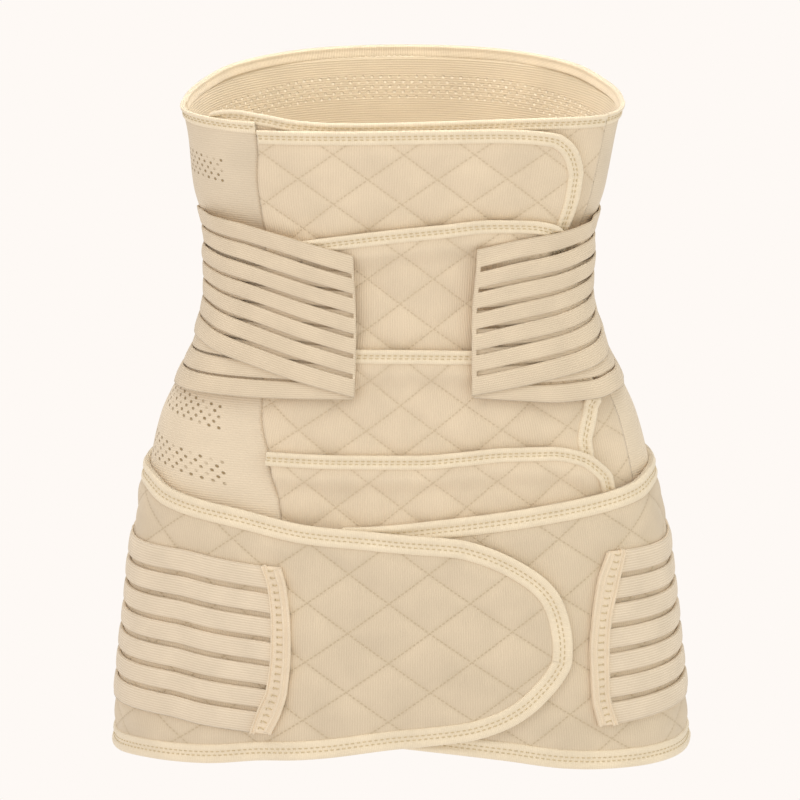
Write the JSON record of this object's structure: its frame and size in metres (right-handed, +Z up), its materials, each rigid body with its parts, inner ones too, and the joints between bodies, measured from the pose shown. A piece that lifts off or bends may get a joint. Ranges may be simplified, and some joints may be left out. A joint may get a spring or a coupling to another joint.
{
  "type": "abdominal binder",
  "caption": "Layered elastic abdominal binder shown closed: torso wrap with quilted front tabs, slitted waist straps and a wide quilted hip belt with bound edges.",
  "frame": {"origin": "middle of the hollow at the waist line, where the wearer's waist would be", "axes": "+Z up along the trunk, -Y to the front where the tabs close, +X to the viewer's right when seen from the front"},
  "size_m": [0.3727, 0.2482, 0.4294],
  "materials": {
    "perforated_knit": "ribbed elastic knit with eyelet bands",
    "edge_binding": "stitched cream edge tape",
    "quilted_tabs": "quilted ribbed knit",
    "waist_elastic": "ribbed woven elastic",
    "hip_quilt": "quilted ribbed knit",
    "hip_elastic": "ribbed woven elastic",
    "hook_tab": "bound hook-and-loop tab"
  },
  "bodies": {
    "root": {"wrap_back_panel": "perforated_knit", "wrap_rim_binding": "edge_binding", "wrap_front_panel": "quilted_tabs", "wrap_front_binding": "edge_binding", "wrap_tab_1": "quilted_tabs", "wrap_tab_1_binding": "edge_binding", "wrap_tab_2": "quilted_tabs", "wrap_tab_2_binding": "edge_binding", "wrap_tab_3": "quilted_tabs", "wrap_tab_3_binding": "edge_binding", "wrap_tab_4": "quilted_tabs", "wrap_tab_4_binding": "edge_binding", "waist_under_strap_left": "waist_elastic", "waist_under_strap_right": "waist_elastic", "waist_strap_left": "waist_elastic", "waist_strap_right": "waist_elastic", "waist_back_panel": "waist_elastic", "hip_belt": "hip_quilt", "hip_belt_binding": "edge_binding", "hip_strap_left": "hip_elastic", "hip_strap_end_left": "hook_tab", "hip_strap_right": "hip_elastic", "hip_strap_end_right": "hook_tab"}
  },
  "joints": []
}
